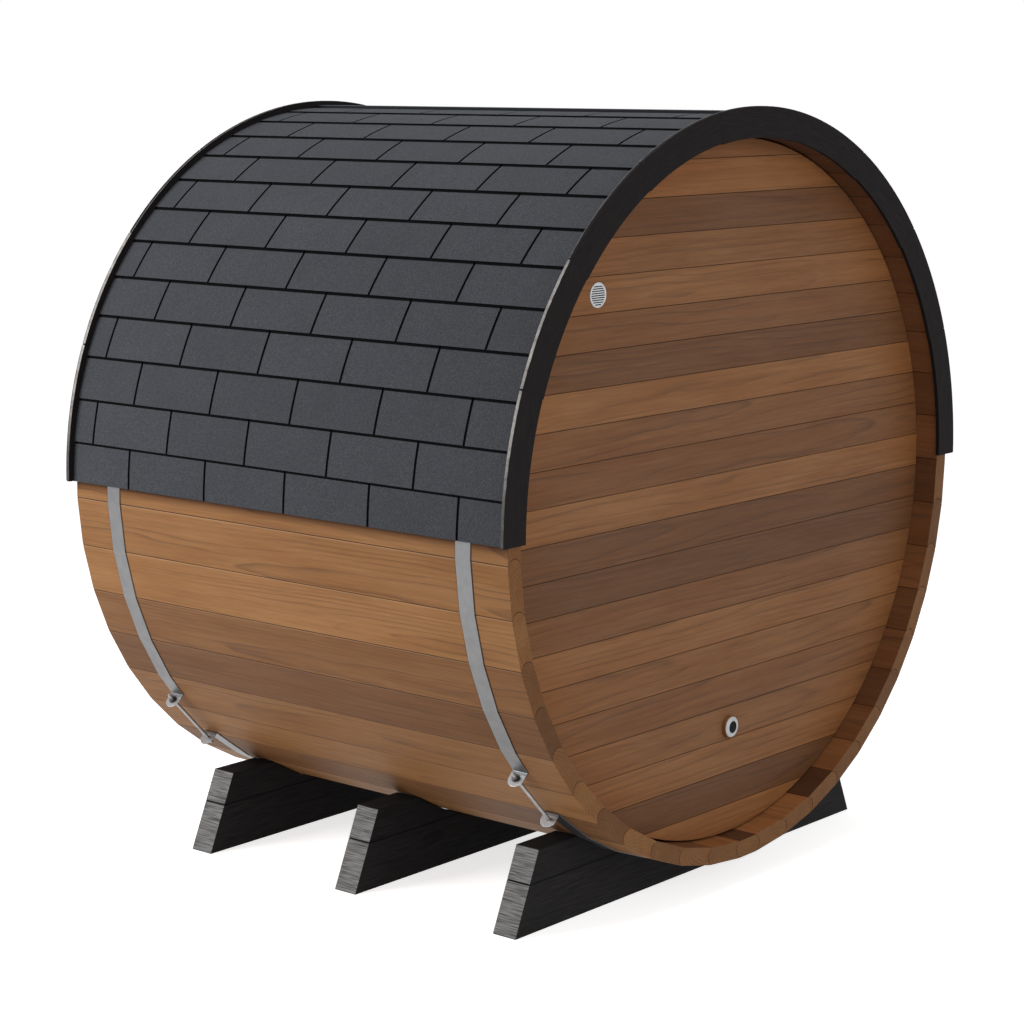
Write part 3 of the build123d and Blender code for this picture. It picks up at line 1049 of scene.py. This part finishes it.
lowEdge, highEdge = roofLook["lowEdge"], roofLook["highEdge"]
lineAtEave, lineAtRidge = roofLook["blackLine"]
firstSlots = [roofLook["firstSlot"] + shift for shift in (0.0, roofLook["tabWidth"] / 2)]
options = (roofLook["smoothAngle"], False)
for sideName, side in (("left", -1), ("right", 1)):
    stocks = (newStock(), newStock())
    low = roofLook["eave"]
    for i in range(roofLook["perSide"]):
        high = low + (roofLook["eaveCourse"] if i == 0 else roofLook["course"])
        blackLine = lineAtEave + (lineAtRidge - lineAtEave) * i / (roofLook["perSide"] - 1)
        layCourse(stocks[i % 2], side * low, side * high, lowEdge, highEdge, firstSlots[i % 2], blackLine)
        low = high
    finishes, nodeName = [shingleFace, shingleCut], "shingles_" + sideName
    makeHalves(sideName + "Shingles", stocks, finishes, "shingles", nodeName, *options)
ridge, thick = newStock(), roofLook["ridgeThickness"]
layCourse(ridge, low, fullTurn - low, thick, thick, firstSlots[1] + roofLook["ridgeShift"])
makePiece("ridgeShingles", ridge, [shingleFace, ridgeEdge], "shingles", ["shingles_ridge"], *options)
print("shingle courses:", 2 * roofLook["perSide"] + 1)


# steel bands, bent up at their ends into half-round lugs
bandLook = {
    "inner": 1.0303,
    "width": 0.050,
    "thickness": 0.002,
    "centres": (-0.659, 0.646),
    "upperEnd": -51.6,
    "lowerEnd": -41.05,
    "holeHeight": 0.0215,
    "hole": 0.0055,
    "bend": 0.010,
    "lugBend": 0.0035,
    "lugFoot": 0.010,
    "ease": 0.0004,
}


def makeSteel(name, look):
    material = newFinish(name)
    brushed = noise(stretch(stored("grain", "Vector"), *look["brush"]), 1.0, 3.0, 0.6)
    smudge = noise(objectPlace(), 34.0, 4.0, 0.55)
    colour = blend(swing(brushed, 0.0, 1.0), look["dark"], look["light"])
    colour = blend(spread(smudge, 0.35, 0.75, 0.0, look["smudge"]), colour, look["dull"])
    rough = spread(brushed, 0.25, 0.75, look["roughness"] - 0.06, look["roughness"] + 0.08)
    rough = calc("ADD", rough, spread(smudge, 0.4, 0.7, 0.0, 0.08))
    setShader(colour, rough, (brushed, look["bump"]), metallic=look["metallic"])
    return material


brushedSteel = makeSteel("brushedSteel", {
    "dark": tint(113, 113, 114), "light": tint(128, 128, 129), "dull": tint(104, 104, 106),
    "smudge": 0.3, "metallic": 1.0, "roughness": 0.40, "bump": 0.00005, "brush": (60.0, 1500.0, 60.0),
})
boltSteel = makeSteel("boltSteel", {
    "dark": tint(146, 146, 148), "light": tint(180, 180, 182), "dull": tint(116, 114, 112),
    "smudge": 0.5, "metallic": 1.0, "roughness": 0.38, "bump": 0.00005, "brush": (400.0, 400.0, 400.0),
})
nutSteel = makeSteel("nutSteel", {
    "dark": tint(70, 68, 68), "light": tint(128, 126, 125), "dull": tint(46, 43, 42),
    "smudge": 0.7, "metallic": 1.0, "roughness": 0.36, "bump": 0.0001, "brush": (400.0, 400.0, 400.0),
})


# every joint between staves, over more than one turn
once = [leftJoint - i * step for i in range(staveLook["leftCount"] + 1)]
once += [rightJoint + i * step for i in range(staveLook["rightCount"] + 1)]
joints = sorted((a - fullTurn * turn for a in once for turn in range(3)), reverse=True)


def bandRadius(angle, base):
    above = min(a for a in joints if a > angle - 0.001)
    below = max(a for a in joints if a < angle + 0.001)
    half, off = (above - below) / 2, angle - (above + below) / 2
    return base * math.cos(math.radians(half)) / math.cos(math.radians(off))


def ribbon(path, halfThickness, yLow, yHigh, ease):
    points, faces, t = [], [], halfThickness
    section = [(-t, yLow + ease), (-t + ease, yLow), (t - ease, yLow), (t, yLow + ease),
               (t, yHigh - ease), (t - ease, yHigh), (-t + ease, yHigh), (-t, yHigh - ease)]
    for i, point in enumerate(path):
        before = path[i] - path[i - 1] if i else path[1] - path[0]
        after = path[i + 1] - path[i] if i < len(path) - 1 else before
        before, after = before.normalized(), after.normalized()
        way = (before + after).normalized()
        normal = Vector((-way.y, way.x)) / max(0.5, way.dot(before))
        for offset, y in section:
            p = point + normal * offset
            points.append(Vector((p.x, y, p.y)))
    n = len(section)
    for i in range(len(path) - 1):
        for k in range(n):
            a, b = i * n + k, i * n + (k + 1) % n
            faces.append([a, b, b + n, a + n])
    faces.append(list(range(n)))
    faces.append([(len(path) - 1) * n + k for k in range(n)][::-1])
    return points, faces


gapMiddle = math.radians((bandLook["upperEnd"] + bandLook["lowerEnd"]) / 2)
outward = Vector((math.sin(gapMiddle), -math.cos(gapMiddle)))
roundWay = Vector((math.cos(gapMiddle), math.sin(gapMiddle)))
halfSpan = math.radians((bandLook["lowerEnd"] - bandLook["upperEnd"]) / 2)
rodDistance = bandLook["inner"] * math.cos(halfSpan) + bandLook["holeHeight"]
axisPoint = Vector((0, axisHeight))


def lugPlace(angle):
    foot = onRing(bandRadius(angle, bandLook["inner"]), angle)
    height = rodDistance - (foot - axisPoint).dot(outward)
    return foot, height


def bandSolids(yCentre):
    look = bandLook
    t, half = look["thickness"] / 2, look["width"] / 2
    solids, feet = [], []
    for angle, way in ((look["upperEnd"], -1), (look["lowerEnd"], 1)):
        foot, height = lugPlace(angle)
        corner = foot + outward * t + roundWay * way * t
        plateFoot = corner + outward * look["lugFoot"]
        feet.append([plateFoot, corner])
        reach = height - look["lugFoot"] - t
        outline = [Vector((-half, 0)), Vector((half, 0))] + arc(Vector((0, reach)), half, 0.0, 180.0, 20)
        hole = circle(Vector((0, reach)), look["hole"], 24)

        def place(u, v, w, plateFoot=plateFoot, way=way):
            p = plateFoot + outward * v + roundWay * way * w
            return Vector((p.x, yCentre + u, p.y))

        solids.append(slab(outline, easedRows(-t, t, look["ease"]), place, [hole]))
    turns = [a for a in joints if look["lowerEnd"] - fullTurn < a < look["upperEnd"]]
    path = feet[0] + [onRing(look["inner"] + t, turn) for turn in turns] + feet[1][::-1]
    radii = [0.0, look["lugBend"]] + [look["bend"]] * len(turns) + [look["lugBend"], 0.0]
    path = roundedPath(path, radii, closed=False, arcSteps=4)
    solids.append(ribbon(path, t, yCentre - half, yCentre + half, look["ease"]))
    return solids


for endName, yCentre in zip(("vent", "plain"), bandLook["centres"]):
    stock = newStock()
    for solid, finish in zip(bandSolids(yCentre), (1, 1, 0)):
        addSolid(stock, solid, finish=finish)
    name, nodeName = endName + "EndBand", "band_" + endName + "_end"
    makePiece(name, stock, [brushedSteel, boltSteel], "bands", [nodeName], 30.0)


# threaded rods between the lugs, with a washer and a nut behind each
rodLook = {
    "radius": 0.0050,
    "threadDepth": 0.0004,
    "pitch": 0.0015,
    "rowsPerTurn": 5,
    "endTaper": 0.0008,
    "overrun": 0.026,
    "around": 20,
    "nutFlats": 0.017,
    "nutHeight": 0.008,
    "nutGap": 0.0001,
    "boreEase": 0.0006,
    "washer": 0.0125,
    "washerBore": 0.0054,
    "washerThickness": 0.0016,
}


def alongRod(start, way, yCentre):
    pull, side = Vector((way.x, 0, way.y)), Vector((0, 1, 0))
    third = pull.cross(side)
    origin = Vector((start.x, yCentre, start.y))
    return lambda u, v, w: origin + side * u + third * v + pull * w


def rodSolid(start, pull, length, yCentre):
    look = rodLook
    pitch, depth = look["pitch"], look["threadDepth"]
    rows = int(length / pitch * look["rowsPerTurn"])

    def thread(radius, angle, height):
        phase = (height / pitch - angle / (2 * math.pi)) % 1.0
        fullness = min(1.0, min(height, length - height) / (2 * pitch))
        return (radius - depth * abs(2 * phase - 1) - look["endTaper"] * (1 - fullness), height)

    profile = [(look["radius"], length * k / rows) for k in range(rows + 1)]
    profile = [(0.0, 0.0)] + profile + [(0.0, length)]
    return lathe(profile, alongRod(start, pull, yCentre), look["around"], False, thread)


def washerSolid(seat):
    w, r, bore = rodLook["washerThickness"], rodLook["washer"], rodLook["washerBore"]
    return lathe([(bore, 0.0), (r, 0.0), (r, w * 0.8), (r - w * 0.2, w), (bore, w)], seat, 40)


# a turned profile whose outer rings are drawn out to six corners
def nutSolid(seat):
    look = rodLook
    ease, flats = look["boreEase"], look["nutFlats"] / 2
    bore, low = look["radius"] + look["nutGap"], look["washerThickness"]
    top = look["nutHeight"] - ease + low
    inner, outer = flats * 0.97, flats * 1.02

    def hexagon(radius, angle, height):
        if radius < flats * 0.96:
            return (radius, height)
        turn = (math.degrees(angle) + 30) % 60 - 30
        corner = flats / math.cos(math.radians(turn))
        drop = (corner - inner) * 0.55
        if radius > flats * 1.01:
            return (corner, top - drop if height > (low + top) / 2 else low + drop)
        return (inner, height)

    profile = [(bore, low), (inner, low), (outer, low), (outer, top), (inner, top)]
    profile += [(bore + ease, top), (bore, top - ease)]
    return lathe(profile, seat, 72, True, hexagon)


rods, nuts = newStock(), newStock()
for yCentre in bandLook["centres"]:
    holes = []
    for angle in (bandLook["upperEnd"], bandLook["lowerEnd"]):
        foot, height = lugPlace(angle)
        holes.append(foot + outward * height)
    between, overrun = holes[1] - holes[0], rodLook["overrun"]
    pull = between.normalized()
    addSolid(rods, rodSolid(holes[0] - pull * overrun, pull, between.length + 2 * overrun, yCentre))
    for hole, way in ((holes[0], -1), (holes[1], 1)):
        seat = alongRod(hole + pull * way * bandLook["thickness"], pull * way, yCentre)
        addSolid(nuts, washerSolid(seat))
        addSolid(nuts, nutSolid(seat))
makePiece("tensionRods", rods, [boltSteel], "fasteners", ["tension_rods"], 50.0, False)
makePiece("tensionNuts", nuts, [nutSteel], "fasteners", ["tension_nuts"], 25.0, False)
print("bands and tensioners ready")


# cradles of stacked beams, black stained, with rough sawn ends
cradleLook = {
    "centres": (-0.5935, -0.01175, 0.5700),
    "width": 0.079,
    "lowerHeight": 0.136,
    "height": 0.2245,
    "halfOnGround": 0.797,
    "lean": 23.4,
    "saddle": 1.0303,
    "ease": 0.0018,
    "corner": 0.0022,
    "arcSteps": 24,
    "grainShift": 20.0,
    "pithBelow": (0.3, 3.0),
}
stainLook = {
    "fibres": (300.0, 300.0, 9.0),
    "fibreColours": (tint(21, 20, 20), tint(37, 35, 36)),
    "figure": (34.0, 34.0, 2.4),
    "figureShare": 0.7,
    "figureColour": tint(30, 28, 28),
    "knots": (8.0, 8.0, 3.4),
    "knotSize": (0.12, 0.20),
    "knotShare": 0.85,
    "knotColour": tint(9, 8, 8),
    "ribs": (380.0, 14.0, 380.0),
    "ribColours": (tint(72, 71, 71), tint(146, 145, 144)),
    "ribHeight": 2.0,
    "seamWidth": (0.0016, 0.0030),
    "seamColour": tint(5, 5, 5),
    "roughness": (0.8, 0.6),
    "gloss": 0.1,
    "bump": 0.0009,
}


def makeStained(name, look):
    material = newFinish(name)
    grain = stored("grain", "Vector")
    endOn = fade(looksAlong(faceWay(), 1.0, 0.0, 0.0), 0.8, 0.9)
    fibre = noise(stretch(grain, *look["fibres"]), 1.0, 5.0, 0.62)
    figure = noise(stretch(grain, *look["figure"]), 1.0, 3.0, 0.6, 1.2)
    colour = blend(spread(fibre, 0.35, 0.7), *look["fibreColours"])
    colour = blend(spread(figure, 0.45, 0.7, 0.0, look["figureShare"]), colour, look["figureColour"])
    knots = cells(stretch(grain, *look["knots"]), 1.0)["Distance"]
    colour = blend(fade(knots, *look["knotSize"], look["knotShare"], 0.0), colour, look["knotColour"])
    ribs = noise(stretch(grain, *look["ribs"]), 1.0, 3.0, 0.6)
    colour = blend(endOn, colour, blend(spread(ribs, 0.34, 0.64), *look["ribColours"]))
    # dark where one beam lies on the other
    fromSeam = distance(apart(objectPlace())[2], cradleLook["lowerHeight"])
    colour = blend(fade(fromSeam, *look["seamWidth"], 1.0, 0.0), colour, look["seamColour"])
    endHeight = times(ribs, times(endOn, look["ribHeight"]))
    height = calc("MULTIPLY_ADD", fibre, without(endOn), endHeight)
    setShader(colour, swing(fibre, *look["roughness"]), (height, look["bump"]), look["gloss"])
    return material


cradleWood = makeStained("cradleWood", stainLook)


def halfLengthAt(z):
    return cradleLook["halfOnGround"] - z * math.tan(math.radians(cradleLook["lean"]))


def saddleX(z):
    return math.sqrt(cradleLook["saddle"] ** 2 - (axisHeight - z) ** 2)


def saddleArc(xStart, xEnd):
    n = cradleLook["arcSteps"]
    xs = [xStart + (xEnd - xStart) * k / n for k in range(n + 1)]
    return [Vector((x, axisHeight - math.sqrt(cradleLook["saddle"] ** 2 - x * x))) for x in xs]


# the ends of a beam are listed first, and only they are rounded
def beamSolid(ends, saddle, yCentre):
    half = cradleLook["width"] / 2
    radii = [cradleLook["corner"]] * len(ends) + [0.0] * len(saddle)
    rows = easedRows(yCentre - half, yCentre + half, cradleLook["ease"])
    return slab(roundedPath(ends + saddle, radii), rows, upright)


def beamGrain(zMiddle, yCentre):
    start = dice.uniform(-cradleLook["grainShift"], cradleLook["grainShift"])
    below = dice.uniform(*cradleLook["pithBelow"])
    return lambda p: (p.z - zMiddle + below, p.y - yCentre, p.x + start)


low, high = cradleLook["lowerHeight"], cradleLook["height"]
ground, shelf = halfLengthAt(0), halfLengthAt(low)
for endName, yCentre in zip(("vent_end", "middle", "plain_end"), cradleLook["centres"]):
    name = "cradle_" + endName
    ends = [Vector(p) for p in ((-shelf, low), (-ground, 0), (ground, 0), (shelf, low))]
    longBeam, topBeams = newStock(), newStock()
    beam = beamSolid(ends, saddleArc(saddleX(low), -saddleX(low)), yCentre)
    addSolid(longBeam, beam, beamGrain(low / 2, yCentre))
    makePiece(name + "_longBeam", longBeam, [cradleWood], "cradles", [name + "_lower"])
    for side in (-1, 1):
        ends = [Vector((side * shelf, low)), Vector((side * halfLengthAt(high), high))]
        beam = beamSolid(ends, saddleArc(side * saddleX(high), side * saddleX(low)), yCentre)
        addSolid(topBeams, beam, beamGrain((low + high) / 2, yCentre))
    makePiece(name + "_topBeams", topBeams, [cradleWood], "cradles", [name + "_upper"])
print("cradles: 3")


# vent: a rim, a slotted plate, slats behind the slots and a sleeve through the board
ventMetal = makeSteel("ventMetal", {
    "dark": tint(196, 200, 203), "light": tint(216, 219, 221), "dull": tint(180, 183, 186),
    "smudge": 0.3, "metallic": 0.35, "roughness": 0.38, "bump": 0.00003, "brush": (500.0, 500.0, 60.0),
})
# dark slats and sleeve behind the slots: painted shade, so the slots read dark
ventDust = makePlain("ventDust", {
    "drift": (240.0, 4.0, 0.6), "share": (0.4, 0.7), "colours": (tint(30, 30, 31), tint(52, 51, 50)),
    "roughness": (0.7, 0.85), "gloss": 0.5, "bump": 0.0002,
})


def onWall(centre):
    return lambda u, v, w: Vector((centre.x + u, -wallLook["face"] - w, centre.y + v))


def slotOutline(i):
    look = ventLook
    drop = (i - (look["slots"] - 1) / 2) * look["slotPitch"] + look["slotDrop"]
    tall = look["slotHeight"] / 2
    half = math.sqrt(look["slotReach"] ** 2 - drop ** 2) - tall
    right = arc(Vector((half, drop)), tall, -90.0, 90.0, 6)
    return right + arc(Vector((-half, drop)), tall, 90.0, 270.0, 6), half, drop - tall


def slatSolid(half, foot):
    look = ventLook
    width, thickness = look["slatWidth"], look["slatThickness"]
    tilt = math.radians(look["slatTilt"])
    slat = [Vector((0.0, 0.0)), Vector((-width * math.cos(tilt), width * math.sin(tilt)))]
    slat += [slat[1] + Vector((0, -thickness)), slat[0] + Vector((0, -thickness))]
    back, wallPlace = look["plate"][0], onWall(look["centre"])
    return slab(slat, [(-half, 0.0), (half, 0.0)], lambda u, v, w: wallPlace(w, foot + v, u + back))


vent = newStock()
place = onWall(ventLook["centre"])
r, p = ventLook["radius"], ventLook["proud"]
addSolid(vent, lathe([(r - inset, p * share) for inset, share in ventLook["rim"]], place, 64))
slots = []
for i in range(ventLook["slots"]):
    slot, half, foot = slotOutline(i)
    slots.append(slot)
    addSolid(vent, slatSolid(half, foot), finish=1)
plateRows = easedRows(*ventLook["plate"])
addSolid(vent, slab(circle(Vector((0, 0)), r - ventLook["plateInset"], 64), plateRows, place, slots))
outer, inner, front, back = ventLook["sleeve"]
addSolid(vent, lathe([(outer, front), (outer, back), (inner, back), (inner, front)], place, 64), finish=1)
makePiece("ventGrille", vent, [ventMetal, ventDust], "vent", ["vent"], 30.0)


# cable entry: wooden collar, pale ring rising to a black plug with small dents
entryLook = {
    "centre": onRing(0.66631, 0.77),
    "collarRadius": 0.031,
    "collar": 0.0126,
    # the collar's rounded edge and the ring's dish, as inset and height
    "collarEdge": [(0.0, -0.0012), (0.0004, -0.0004), (0.0012, 0.0)],
    "collarGrain": (0.03, 0.06, 4.2),
    "ringRadius": 0.029,
    "ring": 0.0045,
    "ringGap": 0.0003,
    "ringDish": [(0.0, 0.0), (0.0, 0.0008), (0.0006, 0.0016), (0.0022, 0.0026), (0.0045, 0.0035),
                 (0.0070, 0.0041), (0.0095, 0.0045)],
    "core": 0.0168,
    "proud": 0.0005,
    "plugRings": 16,
    "dents": 6,
    "dentCircle": 0.0100,
    "dentRadius": 0.0034,
    "dentDepth": 0.0011,
}
palePlastic = makePlain("palePlastic", {
    "drift": (60.0, 4.0, 0.6), "share": (0.4, 0.75, 0.0, 0.5), "specks": (900.0, 2.0, 0.5),
    "colours": (tint(206, 209, 211), tint(178, 180, 181)),
    "roughness": (0.35, 0.5), "gloss": 0.5, "bump": 0.00004,
})
blackRubber = makePlain("blackRubber", {
    "drift": (160.0, 4.0, 0.6), "share": (0.45, 0.8), "colours": (tint(6, 6, 7), tint(18, 18, 19)),
    "roughness": (0.5, 0.65), "gloss": 0.1, "bump": 0.0002,
})
centre, h, core = entryLook["centre"], entryLook["collar"], entryLook["core"]
place = onWall(centre)


def collarGrain(p):
    below, behind, start = entryLook["collarGrain"]
    return (p.z - centre.y + below, p.y + wallLook["face"] + behind, p.x + start)


collar = newStock()
r = entryLook["collarRadius"]
edge = [(r - inset, h + rise) for inset, rise in entryLook["collarEdge"]]
profile = [(0.0, 0.0), (r, 0.0)] + edge + [(0.0, h)]
addSolid(collar, lathe(profile, place, 72, False), collarGrain, 0.7)
makePiece("entryCollar", collar, [wallWood], "wall_boards", ["cable_entry_collar"])

ring = newStock()
r, k, top = entryLook["ringRadius"], core + entryLook["ringGap"], h + entryLook["ring"]
profile = [(k, h)] + [(r - inset, h + rise) for inset, rise in entryLook["ringDish"]]
profile += [(k + 0.0006, top), (k + 0.0001, top - 0.0004)]
addSolid(ring, lathe(profile, place, 72))
makePiece("entryRing", ring, [palePlastic], "pale_plastic", ["cable_entry_rim"], 50.0)

face = top + entryLook["proud"]
dents = [(0.0, 0.0)]
for i in range(entryLook["dents"]):
    dents.append((entryLook["dentCircle"], 2 * math.pi * i / entryLook["dents"] + 0.3))


def dented(radius, angle, height):
    if height < face - 0.0001 or radius > core * 0.99:
        return (radius, height)
    x, y = radius * math.cos(angle), radius * math.sin(angle)
    sink = 0.0
    for reach, turn in dents:
        away = math.hypot(x - reach * math.cos(turn), y - reach * math.sin(turn))
        sink = max(sink, entryLook["dentDepth"] * max(0.0, 1 - (away / entryLook["dentRadius"]) ** 2))
    return (radius, height - sink)


plug = newStock()
rings = entryLook["plugRings"]
profile = [(0.0, h), (core, h), (core, face - 0.0008)]
profile += [(core * (1 - i / rings), face) for i in range(1, rings)] + [(0.0, face)]
addSolid(plug, lathe(profile, place, 72, False, dented))
makePiece("entryPlug", plug, [blackRubber], "black_rubber", ["cable_entry_plug"], 50.0)
print("vent and cable entry ready")


# plain studio: white floor, white surroundings, soft key from the long side in view
studioLook = {
    "floorSize": 60.0,
    "floorColour": (0.86, 0.86, 0.86, 1.0),
    "floorRoughness": 0.9,
    "floorGlow": 0.73,
    "ambient": 0.34,
    "white": (1.0, 1.0, 1.0, 1.0),
    "lamps": [
        # name, place, aims at, size, watts
        ("key", (-4.3, 2.5, 3.2), (-0.5, 0.1, 1.0), 2.6, 168.0),
        ("front", (-1.3, -6.6, 3.1), (0.1, -0.6, 1.1), 3.5, 102.0),
        ("top", (1.1, 0.2, 5.6), (0.2, 0.0, 1.2), 4.0, 78.0),
    ],
}


# what the camera and mirror-like surfaces see, as against what lights the object
def seenDirectly():
    rays = newNode("LightPath").outputs
    seen = calc("MAXIMUM", rays["Is Camera Ray"], rays["Is Glossy Ray"])
    return calc("MAXIMUM", seen, rays["Is Transmission Ray"])


world = bpy.data.worlds.new("studio")
bpy.context.scene.world = world
world.use_nodes = True
bench["tree"] = world.node_tree
strength = spread(seenDirectly(), 0.0, 1.0, studioLook["ambient"], 1.0)
feedNamed(world.node_tree.nodes["Background"], Color=studioLook["white"], Strength=strength)

half = studioLook["floorSize"] / 2
corners = [(-half, -half, 0), (half, -half, 0), (half, half, 0), (-half, half, 0)]
floorMesh = bpy.data.meshes.new("floor")
floorMesh.from_pydata(corners, [], [(0, 1, 2, 3)])
floor = bpy.data.objects.new("floor", floorMesh)
bpy.context.collection.objects.link(floor)
floorMesh.materials.append(newFinish("floorFinish"))
shader = bench["tree"].nodes["Principled BSDF"]
for socketName, value in (
    ("Base Color", studioLook["floorColour"]),
    ("Roughness", studioLook["floorRoughness"]),
    ("Specular IOR Level", 0.0),
    ("Emission Color", studioLook["white"]),
    ("Emission Strength", times(seenDirectly(), studioLook["floorGlow"])),
):
    feed(shader.inputs[socketName], value)
floor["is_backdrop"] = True

for name, place, aim, size, watts in studioLook["lamps"]:
    lampData = bpy.data.lights.new(name, "AREA")
    lampData.shape = "DISK"
    lampData.size = size
    lampData.energy = watts
    lamp = bpy.data.objects.new(name, lampData)
    lamp.location = place
    lamp.rotation_euler = (Vector(aim) - Vector(place)).to_track_quat("-Z", "Y").to_euler()
    bpy.context.collection.objects.link(lamp)
print("studio ready")

cadCorners, sceneCorners = ([list(corner) for corner in box] for box in (cadBox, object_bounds()))
print("cad box", cadCorners, "visual box", sceneCorners)
